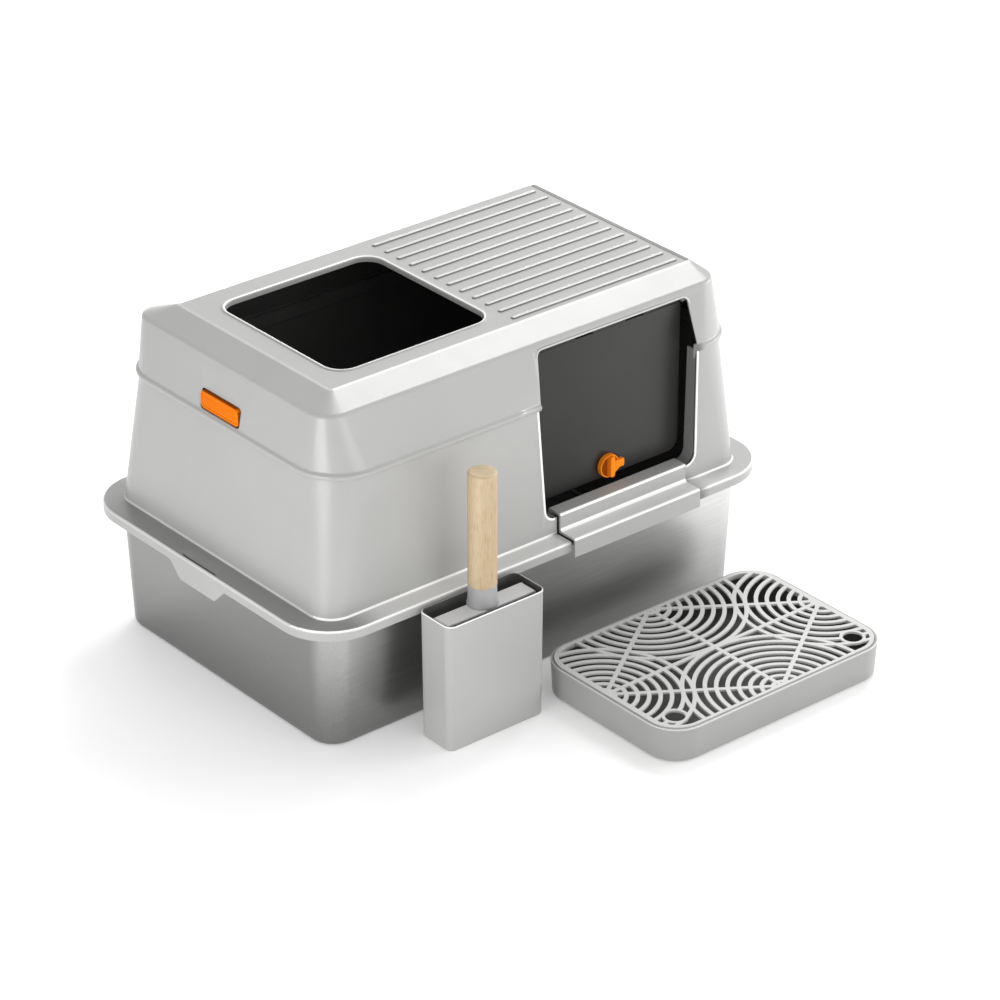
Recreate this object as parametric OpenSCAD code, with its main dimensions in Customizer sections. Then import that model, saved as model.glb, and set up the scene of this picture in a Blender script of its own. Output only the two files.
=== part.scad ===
// Covered cat litter box with top entry, front flap, scoop with holder and foot mat.
// Millimetres. +Z up, front side towards -Y. Origin: centre of the tray underside.

/* [Litter tray] */
// half length of the tray floor line
tray_hx = 271; // [240:0.5:300]
// half depth of the tray floor line
tray_hy = 173.5; // [150:0.5:200]
// height of the tray rim plane
tray_h = 142.6; // [110:0.2:170]
// outward lean of each tray wall
tray_lean = 6.5; // [2:0.5:12]
// steel sheet thickness
sheet = 0.8; // [0.5:0.1:2]

/* [Lower enclosure] */
// half length over the lip that wraps the tray rim
lip_hx = 300; // [280:0.5:320]
// half depth over the lip
lip_hy = 201.5; // [180:0.5:220]
// corner radius of the lip
lip_r = 58; // [30:1:80]
// level of the shelf around the enclosure
shelf_z = 146.7; // [120:0.1:170]
// level where the enclosure wall ends under the hood bead
seam_z = 292; // [250:0.5:320]
// plastic wall thickness
wall = 2.6; // [2:0.1:4]

/* [Upper hood] */
// level of the shoulder line around the hood
shoulder_z = 355.3; // [340:0.1:370]
// level of the flat roof
roof_z = 365.6; // [356:0.1:380]
// half depth of the flat roof
roof_hy = 124.5; // [100:0.5:140]
// length of the entry opening in the roof
entry_l = 194; // [150:1:210]
// width of the entry opening in the roof
entry_w = 197; // [150:1:205]
// number of grip ribs on the roof
rib_count = 12; // [6:1:14]
// spacing of the grip ribs
rib_pitch = 20.3; // [16:0.1:22]

/* [Front flap] */
// centre of the front opening along the front wall
win_x = 105; // [90:0.5:120]
// thickness of the clear smoke panel
panel_t = 3; // [2:0.1:4]
// diameter of the hinge pin
pin_d = 4; // [3:0.1:5]
// diameter of the round lock knob
knob_d = 25.5; // [24:0.5:34]

/* [Scoop and holder] */
// length of the holder
holder_l = 124; // [110:1:140]
// depth of the holder
holder_w = 49.4; // [44:0.2:56]
// height of the holder
holder_h = 142; // [120:1:160]
// diameter of the wooden handle
handle_d = 29.4; // [24:0.2:34]
// top of the wooden handle above the floor
handle_top = 285; // [260:1:300]

/* [Foot mat] */
// length of the foot mat
mat_l = 300; // [260:1:320]
// depth of the foot mat
mat_w = 207; // [180:1:220]
// height of the foot mat
mat_h = 38.6; // [30:0.2:50]
// number of rings in each fan of the grating
fan_rings = 9; // [4:1:9]

/* [Hidden] */
$fn = 48;
eps = 0.02;
gap = 0.3;
// half length, half depth, corner radius and shift in Y of each level
// enclosure wall at the shelf and at the seam
enc0 = [273.5, 178.5, 26];
enc1 = [264.5, 172.6, 48, -3];
// hood over the bead, above it and at the shoulder
bead = [268.3, 176.5, 52, -3];
hood0 = [265.5, 173.7, 50, -3];
hood1 = [255.3, 158.4, 25];
bead_top = seam_z + 6.5;
roof_x0 = -221.5;
roof_x1 = 243.3;
entry_cx = -97.8;
entry_cy = -2.4;
rib_y = -3.2;
// door hinge axis and panel plane
hinge_y = -152;
hinge_z = 344.5;
door_x0 = 8.8;
door_x1 = 204.2;
door_bot = 173;
clip_x = [5.7, 207.4];
knob_x = 106.5;
knob_z = 186.5;
// latch buttons, centred on the side walls
latch_z = 310.5;
latch_hw = 32;
latch_hh = 10.4;
latch_in = 258.4;
// front threshold
sill_x0 = 21.9;
sill_x1 = 191.4;
sill_z = 168.9;
win_z = 165.2;
// scoop and mat positions on the floor
hold = [-119, -228.3];
mat = [115.5, -313.3];
blade_w = 114;
grip_z = 160.6;
bar_z = 139;
fan_pitch = 11.3;
rib_w = 4.4;

// ---------- shared shapes ----------

// rounded rectangle by half sizes
module rr(hx, hy, r) {
    square([2 * (hx - r), 2 * hy], center = true);
    square([2 * hx, 2 * (hy - r)], center = true);
    for (sx = [-1, 1], sy = [-1, 1]) translate([sx * (hx - r), sy * (hy - r)]) circle(r);
}

// flat plate from half length, half depth, corner radius and optional shift in Y
module slab(s, z, t) translate([0, len(s) > 3 ? s[3] : 0, z]) linear_extrude(t) rr(s[0], s[1], s[2]);

// block that runs from one rounded rectangle up to another
module draft(a, za, b, zb) hull() {
    slab(a, za, eps);
    slab(b, zb - eps, eps);
}

function grow(s, d) = [s[0] + d, s[1] + d, max(1, s[2] + d), len(s) > 3 ? s[3] : 0];

// extrude an outline drawn in X and Z along Y, from y0 to y1
module along_y(y0, y1) translate([0, y1, 0]) rotate([90, 0, 0]) linear_extrude(y1 - y0) children();

// extrude an outline drawn in Y and Z along X, from x0 to x1
module along_x(x0, x1) translate([x0, 0, 0]) rotate([90, 0, 90]) linear_extrude(x1 - x0) children();

// straight bar with round ends, lying on z
module bar(x0, x1, w, t) {
    translate([x0, -w / 2, 0]) cube([x1 - x0, w, t]);
    for (x = [x0, x1]) translate([x, 0, 0]) cylinder(d = w, h = t);
}

// ---------- litter tray ----------

module tray_skin(d) {
    draft([tray_hx - 6 - d, tray_hy - 6 - d, 22], d, [tray_hx - d, tray_hy - d, 26 - d], 9);
    draft([tray_hx - d, tray_hy - d, 26 - d], 9 - eps,
        [tray_hx + tray_lean - d, tray_hy + tray_lean - d, 32 - d], tray_h + (d > 0 ? 1 : 0));
}

// round wire that finishes the tray rim
module rim_roll(hx, hy, r, z, d) {
    for (s = [-1, 1]) {
        translate([-(hx - r), s * hy, z]) rotate([0, 90, 0]) cylinder(d = d, h = 2 * (hx - r));
        translate([s * hx, hy - r, z]) rotate([90, 0, 0]) cylinder(d = d, h = 2 * (hy - r));
    }
    for (q = [0:3]) translate([(q == 0 || q == 3 ? 1 : -1) * (hx - r), (q < 2 ? 1 : -1) * (hy - r), z])
        rotate([0, 0, q * 90]) rotate_extrude(angle = 90) translate([r, 0]) circle(d = d, $fn = 24);
}

module litter_tray() color("silver") {
    difference() {
        union() {
            tray_skin(0);
            slab([lip_hx - 6, lip_hy - 6, lip_r - 6], tray_h - sheet, sheet);
        }
        tray_skin(sheet);
    }
    rim_roll(lip_hx - 6, lip_hy - 6, lip_r - 6, tray_h - 2.2, 4.4);
}

// ---------- lower enclosure ----------

// front opening in the lower wall, grown by g
module win_low(g) {
    translate([win_x, 0]) {
        polygon([[-108.5 - g, seam_z + 12], [103.5 + g, seam_z + 12], [101 + g, win_z + 12],
            [-99.5 - g, win_z + 12]]);
        translate([-87.5, win_z - g]) square([176.5, 20]);
        for (x = [-87.5, 89]) translate([x, win_z + 12]) circle(12 + g);
    }
}

// front opening in the hood wall, grown by g
module win_high(g) {
    translate([win_x, 0]) {
        polygon([[-108.5 - g, seam_z - 5], [103.5 + g, seam_z - 5], [101.3 + g, 341],
            [-97.6 - g, 341]]);
        translate([-90.6, 330]) square([184.9, 18 + g]);
        for (x = [-90.6, 94.3]) translate([x, 341]) circle(7 + g);
    }
}

// lift tab hanging from the side of the lip
module lift_tab() intersection() {
    along_x(-lip_hx, -lip_hx + 2.8)
        polygon([[-52, 138], [52, 138], [45, 134], [30, 119.5], [24, 117.5], [-24, 117.5],
            [-30, 119.5], [-45, 134]]);
    slab([lip_hx, lip_hy, lip_r], 110, 40);
}

module lower_enclosure() color("lightgray") difference() {
    union() {
        difference() {
            union() {
                draft(enc0, shelf_z - 1, enc1, seam_z - 0.2);
                slab([lip_hx, lip_hy, lip_r], 135.2, shelf_z - 135.2);
                slab(grow(enc0, 2.2), shelf_z - 1, 3);
            }
            draft(grow(enc0, -wall), shelf_z - 4, grow(enc1, -wall), seam_z + 1);
            slab(grow([lip_hx, lip_hy, lip_r], -2.4), 130, 143.2 - 130);
            slab(grow(enc0, -wall), 130, 20);
        }
        // skirt that drops inside the tray
        difference() {
            slab([270.9, 175.9, 24], 131, shelf_z - 131);
            slab([268.7, 173.7, 22], 130, 20);
        }
        // tongue that guides the hood
        difference() {
            slab([260.9, 169.2, 45, -3], seam_z - 9, 14.5);
            slab([258.7, 167, 43, -3], seam_z - 10, 20);
        }
        // frame around the front opening
        intersection() {
            along_y(-178, -168.5) difference() {
                win_low(2.4);
                translate([0, seam_z + 5.5]) square([900, 20], center = false);
            }
            draft(grow(enc0, -1), shelf_z - 1, grow(enc1, -1), seam_z - 0.2);
        }
        lift_tab();
        mirror([1, 0, 0]) lift_tab();
    }
    along_y(-215, -150) win_low(0);
    // gap for the threshold piece
    translate([sill_x0 - 2.5, -215, 120]) cube([sill_x1 - sill_x0 + 3.5, 57, 54]);
    for (s = [-1, 1]) translate([s * 295.6, 0, 141]) linear_extrude(10) rr(1.6, 28, 1.5);
}

// ---------- front threshold ----------

module front_sill() color("lightgray") {
    along_x(sill_x0, sill_x1) polygon([
        [-161.6, 150], [-161.6, sill_z - 1], [-162.6, sill_z], [-179.4, sill_z],
        [-180.9, sill_z - 1.5], [-180.9, 151.5], [-182.5, 149.9], [-202.4, 149.4],
        [-203.9, 147.9], [-203.9, 128.4], [-201.5, 128.4], [-201.5, 146.8], [-178.5, 147],
        [-178.4, sill_z - 2.6], [-164.2, sill_z - 2.6], [-164.2, 150]]);
    // ribs that stand on the tray rim
    for (x = [-64, 0, 64]) translate([win_x + x - 1.2, -199.5, tray_h + 0.05]) cube([2.4, 20.5, 4.6]);
}

// ---------- upper hood ----------

module hood_body(d) {
    draft(grow(hood0, -d), bead_top - 0.5, grow(hood1, -d), shoulder_z - d * 0.9);
    hull() {
        slab(grow(hood1, -d), shoulder_z - d * 0.9 - eps, eps);
        translate([(roof_x0 + roof_x1) / 2, 0, 0])
            slab([(roof_x1 - roof_x0) / 2 - d * 0.3, roof_hy - d * 0.3, 4], roof_z - d - eps, eps);
    }
}

// pad that gives the latch guide a flat seat
module latch_pad() translate([-270, -39, 299.2]) cube([270 - latch_in - 0.05, 78, 27]);

module latch_slot() translate([-275, -latch_hw - 0.5, latch_z - latch_hh - 0.5])
    cube([22, 2 * latch_hw + 1, 2 * latch_hh + 1]);

module hinge_lug(x) translate([x - 4, hinge_y - 7, 350.4]) cube([8, 16, 14]);

module upper_hood() color("lightgray") difference() {
    union() {
        difference() {
            union() {
                hood_body(0);
                slab(grow(bead, -1), seam_z, 6.8);
                slab(bead, seam_z + 1, 4.6);
            }
            hood_body(wall);
            slab([261.4, 169.7, 45.4, -3], seam_z - 1, bead_top - seam_z + 1.2);
        }
        intersection() {
            union() {
                latch_pad();
                mirror([1, 0, 0]) latch_pad();
                hinge_lug(clip_x[0]);
                hinge_lug(clip_x[1]);
            }
            hood_body(1);
        }
        // lip around the entry opening
        translate([entry_cx, entry_cy, 0])
            slab([entry_l / 2 + 4.5, entry_w / 2 + 4.5, 25], roof_z - wall - 3, wall + 4);
        // grip ribs
        for (i = [0:rib_count - 1])
            translate([0, rib_y + (i - (rib_count - 1) / 2) * rib_pitch, roof_z - 0.5]) bar(15, 229, 5.6, 2.1);
    }
    translate([entry_cx, entry_cy, 0]) slab([entry_l / 2, entry_w / 2, 21], roof_z - 20, 40);
    along_y(-215, -148) win_high(0);
    latch_slot();
    mirror([1, 0, 0]) latch_slot();
}

// ---------- front flap and its hinge ----------

module hinge_pin() color("silver")
    translate([1, hinge_y, hinge_z]) rotate([0, 90, 0]) cylinder(d = pin_d, h = 211.5);

module hinge_clip(x) color("dimgray") difference() {
    union() {
        translate([x - 2.5, hinge_y - 4.5, hinge_z]) cube([5, 9, 4.5]);
        translate([x - 2.5, hinge_y, hinge_z]) rotate([0, 90, 0]) cylinder(d = 9, h = 5);
        translate([x - 4, hinge_y - 3, 348.3]) cube([8, 12, 2]);
    }
    translate([x - 10, hinge_y, hinge_z]) rotate([0, 90, 0]) cylinder(d = pin_d + 0.06, h = 20);
}

module hinge_clip_left() hinge_clip(clip_x[0]);
module hinge_clip_right() hinge_clip(clip_x[1]);

module flap_door() color("dimgray") difference() {
    union() {
        // clear panel with round lower corners
        along_y(hinge_y - panel_t / 2, hinge_y + panel_t / 2) {
            polygon([[door_x0, hinge_z], [door_x1, hinge_z], [door_x1, door_bot + 14],
                [door_x0, door_bot + 14]]);
            translate([door_x0 + 14, door_bot]) square([door_x1 - door_x0 - 28, 20]);
            for (x = [door_x0 + 14, door_x1 - 14]) translate([x, door_bot + 14]) circle(14);
        }
        for (x = [[12, 50], [84, 44], [151, 50]])
            translate([x[0], hinge_y, hinge_z]) rotate([0, 90, 0]) cylinder(d = 8.4, h = x[1]);
        // stiffening ribs near the lower edge
        translate([door_x0 + 18, hinge_y + 1, door_bot + 4]) cube([door_x1 - door_x0 - 36, 3, 2.4]);
        // round boss behind the knob
        translate([knob_x, hinge_y + 4, knob_z]) rotate([90, 0, 0]) cylinder(d = 22, h = 4);
    }
    translate([0, hinge_y, hinge_z]) rotate([0, 90, 0]) cylinder(d = pin_d + 0.12, h = 220);
    for (x = [62, 128]) translate([x, hinge_y - 7, hinge_z - 7]) cube([x == 62 ? 22 : 23, 14, 14]);
    translate([knob_x, hinge_y + 10, knob_z]) rotate([90, 0, 0]) cylinder(d = 8.12, h = 20);
}

// turn knob: shallow cup, grip fin and lock tongue
module door_knob() color("orange")
    translate([knob_x, hinge_y - panel_t / 2 - 0.2, knob_z]) rotate([90, 0, 0]) {
    difference() {
        union() {
            cylinder(d = knob_d, h = 8);
            translate([0, -4.5, 0]) cube([18.5, 9, 5]);
        }
        translate([0, 0, 2.6]) cylinder(d = knob_d - 4, h = 6);
        translate([0, 0, -1]) cylinder(d = 5.06, h = 12);
    }
    difference() {
        translate([-2, -knob_d / 2 + 1, 2]) cube([6, knob_d - 2, 7.5]);
        translate([0, 0, -1]) cylinder(d = 5.06, h = 8);
    }
}

module knob_spindle() color("silver") translate([knob_x, 0, knob_z]) {
    translate([0, hinge_y + 6.2, 0]) rotate([90, 0, 0]) cylinder(d = 8, h = 6.2 + panel_t / 2 + 0.1);
    translate([0, hinge_y + 6.2, 0]) rotate([90, 0, 0]) cylinder(d = 5, h = 12);
}

module knob_washer() color("dimgray") difference() {
    translate([knob_x, hinge_y + 6.4, knob_z]) rotate([90, 0, 0]) cylinder(d = 18, h = 2);
    translate([knob_x, hinge_y + 8, knob_z]) rotate([90, 0, 0]) cylinder(d = 8.04, h = 6);
}

// ---------- side latches ----------

module latch_button() color("orange") difference() {
    union() {
        translate([-266, 0, latch_z]) rotate([90, 0, 90]) linear_extrude(12.6) rr(latch_hw, latch_hh, 4);
        translate([-258.2, -16, 298.4]) cube([2.2, 32, 4.6]);
    }
    translate([-267, 0, latch_z]) rotate([90, 0, 90]) linear_extrude(2) rr(latch_hw - 9, latch_hh - 4.2, 2);
    for (y = [-20, 20]) translate([-262, y, latch_z]) rotate([0, 90, 0]) cylinder(d = 7, h = 12);
}

module latch_left() latch_button();
module latch_right() color("orange") mirror([1, 0, 0]) latch_button();

// guide box behind the button
module latch_cup() color("dimgray") difference() {
    translate([-latch_in, -35, latch_z - 12.6]) cube([12, 70, 24.3]);
    translate([-latch_in - 1, -latch_hw - 0.5, latch_z - latch_hh - 0.5])
        cube([11, 2 * latch_hw + 1, 2 * latch_hh + 1]);
    translate([-latch_in - 1, -17, latch_z - 14]) cube([8.2, 34, 8]);
}

module latch_cup_left() latch_cup();
module latch_cup_right() color("dimgray") mirror([1, 0, 0]) latch_cup();

// pair of springs between guide box and button, each a stack of coils on one strand
module latch_coils() color("silver") for (y = [-20, 20])
    translate([-latch_in + 9.55, y, latch_z]) rotate([0, -90, 0]) {
        for (i = [0:4]) translate([0, 0, i * 1.4]) rotate_extrude() translate([2.4, 0]) circle(d = 0.9, $fn = 16);
        translate([2.4, 0, 0]) cylinder(d = 0.8, h = 5.6, $fn = 16);
    }

module latch_spring_left() latch_coils();
module latch_spring_right() color("silver") mirror([1, 0, 0]) latch_coils();

// ---------- scoop and holder ----------

module scoop_handle() color("burlywood") translate([hold[0], hold[1], grip_z])
    rotate_extrude() polygon([[0, 0], [handle_d / 2 - 0.6, 0], [handle_d / 2, 0.8],
        [handle_d / 2, handle_top - grip_z - 2.5], [handle_d / 2 - 0.8, handle_top - grip_z - 0.7],
        [handle_d / 2 - 2.6, handle_top - grip_z], [0, handle_top - grip_z]]);

module scoop_ferrule() color("gray") translate([hold[0], hold[1], 0]) difference() {
    rotate_extrude() polygon([[0, bar_z + 0.1], [16.2, bar_z + 0.1], [15.4, bar_z + 3.5],
        [14.7, bar_z + 9], [14.3, grip_z - 0.1], [0, grip_z - 0.1]]);
    translate([-12, -1.5, bar_z - 1]) cube([24, 3, 10]);
}

// shallow pan with a slotted floor; its upper end wall carries the ferrule
module scoop_blade() color("gainsboro") translate([hold[0], hold[1], 0]) difference() {
    union() {
        along_y(5.6, 8) {
            translate([-blade_w / 2, 16.5]) square([blade_w, bar_z - 16.5]);
            translate([-blade_w / 2 + 14, 2.5]) square([blade_w - 28, 20]);
            for (x = [-1, 1]) translate([x * (blade_w / 2 - 14), 16.5]) circle(14);
        }
        for (x = [-blade_w / 2, blade_w / 2 - 2.4]) along_x(x, x + 2.4)
            polygon([[7, 20], [8, bar_z], [-14.6, bar_z], [-14.6, 60], [5.7, 20]]);
        translate([-blade_w / 2, -14.6, bar_z - 3]) cube([blade_w, 22.6, 3]);
        translate([-11.7, -1.2, bar_z - 1]) cube([23.4, 2.4, 9.6]);
    }
    for (i = [-5:5]) translate([i * 9.4, 0, 24]) {
        translate([-2.5, 4, 0]) cube([5, 6, 98]);
        for (z = [0, 98]) translate([0, 10, z]) rotate([90, 0, 0]) cylinder(d = 5, h = 6);
    }
}

module scoop_holder() color("lightgray") translate([hold[0], hold[1], 0]) difference() {
    draft([holder_l / 2 - 1.2, holder_w / 2 - 1.2, 8], 0, [holder_l / 2, holder_w / 2, 9], holder_h);
    draft([holder_l / 2 - 3.2, holder_w / 2 - 3.2, 6], 2.4, [holder_l / 2 - 2, holder_w / 2 - 2, 7], holder_h + 1);
}

// ---------- foot mat ----------

module step_tray() color("lightgray") translate([mat[0], mat[1], 0]) difference() {
    draft([mat_l / 2 - 2.5, mat_w / 2 - 2.5, 33], 1.5, [mat_l / 2, mat_w / 2, 36.5], mat_h);
    draft([mat_l / 2 - 8, mat_w / 2 - 8, 28], 4, [mat_l / 2 - 6.4, mat_w / 2 - 6.4, 30], mat_h);
    slab([mat_l / 2 - 3.2, mat_w / 2 - 3.2, 33.4], mat_h - 4.5, 12);
}

// one fan of n concentric ribs around a point beside the frame
module fan(c, n) translate(c) for (i = [1:n]) difference() {
    circle(i * fan_pitch + rib_w / 2);
    circle(i * fan_pitch - rib_w / 2);
}

module rib_line(a, b, w) {
    d = b - a;
    translate(a) rotate(atan2(d[1], d[0])) translate([0, -w / 2]) square([norm(d), w]);
}

module finger_pads(r) for (x = [-121, 121]) translate([x, -74.8]) circle(r);

module step_grate() color("whitesmoke") {
    hx = mat_l / 2 - 3.6;
    hy = mat_w / 2 - 3.6;
    translate([mat[0], mat[1], mat_h - 4.4]) {
        linear_extrude(5.4) difference() {
            rr(hx, hy, 33);
            rr(hx - 5.8, hy - 3.6, 28);
            finger_pads(10.3);
        }
        translate([0, 0, 3]) linear_extrude(2.4) difference() {
            intersection() {
                rr(hx - 5.4, hy - 3.2, 28.4);
                union() {
                    for (s = [-1, 1]) {
                        fan([0, s * (hy + 2.6)], fan_rings);
                        fan([s * (hx + 2.6), 0], fan_rings - 1);
                    }
                    rib_line([-hx, 0], [hx, 0], rib_w);
                    rib_line([0, -hy], [0, hy], rib_w);
                    for (a = [[-1, -1], [-1, 1], [1, -1], [1, 1]])
                        rib_line([a[0] * hx, 0], [0, a[1] * hy], rib_w);
                    finger_pads(13.5);
                }
            }
            finger_pads(10.3);
        }
    }
}

module step_feet() color("dimgray") for (sx = [-1, 1], sy = [-1, 1])
    translate([mat[0] + sx * 118, mat[1] + sy * 72, 0]) cylinder(d = 18, h = 1.45);

// ---------- assembly ----------

litter_tray();
lower_enclosure();
front_sill();
upper_hood();
hinge_pin();
hinge_clip_left();
hinge_clip_right();
flap_door();
door_knob();
knob_spindle();
knob_washer();
latch_left();
latch_right();
latch_cup_left();
latch_cup_right();
latch_spring_left();
latch_spring_right();
scoop_handle();
scoop_ferrule();
scoop_blade();
scoop_holder();
step_tray();
step_grate();
step_feet();
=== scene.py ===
# Looks for the covered litter box set. Shapes are written in millimetres in the CAD frame and
# scaled to metres when the mesh is made.
import math

import bmesh
import bpy
from mathutils import Matrix, Vector


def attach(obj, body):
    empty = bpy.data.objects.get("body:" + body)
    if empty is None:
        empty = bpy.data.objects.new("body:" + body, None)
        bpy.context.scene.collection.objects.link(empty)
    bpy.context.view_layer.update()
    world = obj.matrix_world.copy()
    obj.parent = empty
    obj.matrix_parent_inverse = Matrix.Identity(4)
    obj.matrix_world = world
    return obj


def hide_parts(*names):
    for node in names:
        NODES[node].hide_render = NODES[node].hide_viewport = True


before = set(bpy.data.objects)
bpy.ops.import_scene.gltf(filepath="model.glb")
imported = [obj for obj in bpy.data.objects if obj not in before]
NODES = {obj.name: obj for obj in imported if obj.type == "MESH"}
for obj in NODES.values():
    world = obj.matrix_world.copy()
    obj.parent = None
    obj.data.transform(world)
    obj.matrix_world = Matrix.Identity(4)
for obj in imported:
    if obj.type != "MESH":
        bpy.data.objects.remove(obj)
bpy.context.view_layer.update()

MM = 0.001

# ---------------------------------------------------------------- materials


def mix(tree, fac, a, b):
    """Colour mix node fed by a factor socket."""
    n = tree.nodes.new("ShaderNodeMix")
    n.data_type = "RGBA"
    tree.links.new(fac, n.inputs["Factor"])
    n.inputs["A"].default_value = (*a, 1)
    n.inputs["B"].default_value = (*b, 1)
    return n.outputs["Result"]


def noise(tree, scale, detail=2.0, stretch=(1, 1, 1), rough=0.5):
    """Noise in object space, so it stays on the part when the part moves."""
    tc = tree.nodes.new("ShaderNodeTexCoord")
    mp = tree.nodes.new("ShaderNodeMapping")
    mp.inputs["Scale"].default_value = stretch
    nz = tree.nodes.new("ShaderNodeTexNoise")
    nz.inputs["Scale"].default_value = scale
    nz.inputs["Detail"].default_value = detail
    nz.inputs["Roughness"].default_value = rough
    tree.links.new(tc.outputs["Object"], mp.inputs["Vector"])
    tree.links.new(mp.outputs["Vector"], nz.inputs["Vector"])
    return nz.outputs["Fac"]


def along(tree, axis, lo, hi):
    """0 to 1 as the object coordinate on one axis goes from lo to hi metres."""
    tc = tree.nodes.new("ShaderNodeTexCoord")
    split = tree.nodes.new("ShaderNodeSeparateXYZ")
    tree.links.new(tc.outputs["Object"], split.inputs["Vector"])
    n = tree.nodes.new("ShaderNodeMapRange")
    n.interpolation_type = "SMOOTHSTEP"
    n.inputs["From Min"].default_value = lo
    n.inputs["From Max"].default_value = hi
    tree.links.new(split.outputs[axis], n.inputs["Value"])
    return n.outputs["Result"]


def graded(m, axis, lo, hi, first, last):
    """Multiplies a material's colour by a grey that drifts from first to last along an axis."""
    t, s = m.node_tree, m.node_tree.nodes["Principled BSDF"]
    over = t.nodes.new("ShaderNodeMix")
    over.data_type, over.blend_type = "RGBA", "MULTIPLY"
    over.inputs["Factor"].default_value = 1.0
    t.links.new(s.inputs["Base Color"].links[0].from_socket, over.inputs["A"])
    t.links.new(mix(t, along(t, axis, lo, hi), (first,) * 3, (last,) * 3), over.inputs["B"])
    t.links.new(over.outputs["Result"], s.inputs["Base Color"])


def remap(tree, fac, lo, hi, a=0.3, b=0.7):
    """Stretches a factor so that a to b becomes lo to hi."""
    n = tree.nodes.new("ShaderNodeMapRange")
    n.inputs["From Min"].default_value = a
    n.inputs["From Max"].default_value = b
    n.inputs["To Min"].default_value = lo
    n.inputs["To Max"].default_value = hi
    tree.links.new(fac, n.inputs["Value"])
    return n.outputs["Result"]


def bump(tree, height, distance, strength=1.0, normal=None):
    """Bump node, on top of another normal if one is given."""
    n = tree.nodes.new("ShaderNodeBump")
    n.inputs["Strength"].default_value = strength
    n.inputs["Distance"].default_value = distance
    tree.links.new(height, n.inputs["Height"])
    if normal is not None:
        tree.links.new(normal, n.inputs["Normal"])
    return n.outputs["Normal"]


def material(name, **constants):
    """Material with these values on its shader, as (material, node tree, shader)."""
    m = bpy.data.materials.new(name)
    m.use_nodes = True
    shader = m.node_tree.nodes["Principled BSDF"]
    for key, value in constants.items():
        shader.inputs[key.replace("_", " ")].default_value = value
    return m, m.node_tree, shader


def moulded(name, light, dark, rough, grain=1400, depth=0.00004, specular=0.5):
    """Moulded plastic: slow colour drift, eroded grain in the bump, uneven gloss."""
    m, t, s = material(name, Specular_IOR_Level=specular)
    slow = noise(t, 7, 3)
    t.links.new(mix(t, remap(t, slow, 0, 1), dark, light), s.inputs["Base Color"])
    t.links.new(remap(t, noise(t, 45, 4), *rough), s.inputs["Roughness"])
    fine = bump(t, noise(t, grain, 2), depth, 0.55)
    wavy = bump(t, noise(t, 12, 1), 0.0006, 0.06, fine)
    t.links.new(wavy, s.inputs["Normal"])
    return m


def brushed(name, light, dark):
    """Brushed metal: long fine streaks along X in colour and bump, cloudy gloss."""
    m, t, s = material(name, Metallic=1.0, Anisotropic=0.3)
    streak = noise(t, 900, 4, (0.02, 1, 1), 0.6)
    cloud = noise(t, 5, 2)
    t.links.new(mix(t, remap(t, streak, 0, 1), dark, light), s.inputs["Base Color"])
    t.links.new(remap(t, cloud, 0.26, 0.36), s.inputs["Roughness"])
    t.links.new(bump(t, streak, 0.00001, 0.35), s.inputs["Normal"])
    return m


def wood(name):
    """Sanded beech: long grain along Z, short darker flecks."""
    m, t, s = material(name, Coat_Weight=0.12, Coat_Roughness=0.35)
    grain = noise(t, 260, 5, (1, 1, 0.06), 0.65)
    bands = noise(t, 60, 3, (1, 1, 0.12))
    flecks = noise(t, 900, 2, (1, 1, 0.10))
    base = mix(t, remap(t, bands, 0, 1), (0.42, 0.315, 0.185), (0.53, 0.415, 0.265))
    over = t.nodes.new("ShaderNodeMix")
    over.data_type = "RGBA"
    over.blend_type = "MULTIPLY"
    t.links.new(remap(t, flecks, 0.0, 0.55, 0.52, 0.72), over.inputs["Factor"])
    t.links.new(base, over.inputs["A"])
    over.inputs["B"].default_value = (0.62, 0.50, 0.38, 1)
    t.links.new(over.outputs["Result"], s.inputs["Base Color"])
    t.links.new(remap(t, grain, 0.42, 0.58), s.inputs["Roughness"])
    t.links.new(bump(t, grain, 0.00012, 0.5), s.inputs["Normal"])
    return m


GREY = moulded("body_grey", (0.385, 0.385, 0.377), (0.36, 0.36, 0.352), (0.28, 0.31))
# Painted highlight: a lighter copy of the body grey for fillets, rib tops and rims.
EDGE_HIGHLIGHT = moulded("body_edge_highlight", (0.56, 0.56, 0.55), (0.51, 0.51, 0.50), (0.24, 0.32))
# Painted highlight: near white for the front edges of the shelf, the sill and the opening, the lip of
# the roof opening and the holder's rim.
BRIGHT_HIGHLIGHT = moulded("painted_highlight_edge", (0.92, 0.92, 0.91), (0.86, 0.86, 0.85), (0.18, 0.28))
# Painted light and shade: a lighter grey for the flat top of the shelf and the sill's step,
FLANGE_LIGHT_SHADE = moulded("flange_painted_light_shade", (0.68, 0.68, 0.67), (0.63, 0.63, 0.62), (0.3, 0.4))
# made darker towards both ends of the shelf, most at the left end, which the hood shades.
graded(FLANGE_LIGHT_SHADE, "X", -0.262, -0.205, 0.37, 1.0)
graded(FLANGE_LIGHT_SHADE, "X", 0.20, 0.26, 1.0, 0.52)
# Painted shade: dark grey for the jambs of the front opening, the front faces and left ends of the roof
# ribs, and the strip along the roof's right end.
SHADE_GREY = moulded("painted_shade_grey", (0.20, 0.20, 0.20), (0.16, 0.16, 0.16), (0.4, 0.5))
MAT_GREY = moulded("mat_grey", (0.31, 0.31, 0.302), (0.28, 0.28, 0.273), (0.34, 0.44))
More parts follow.
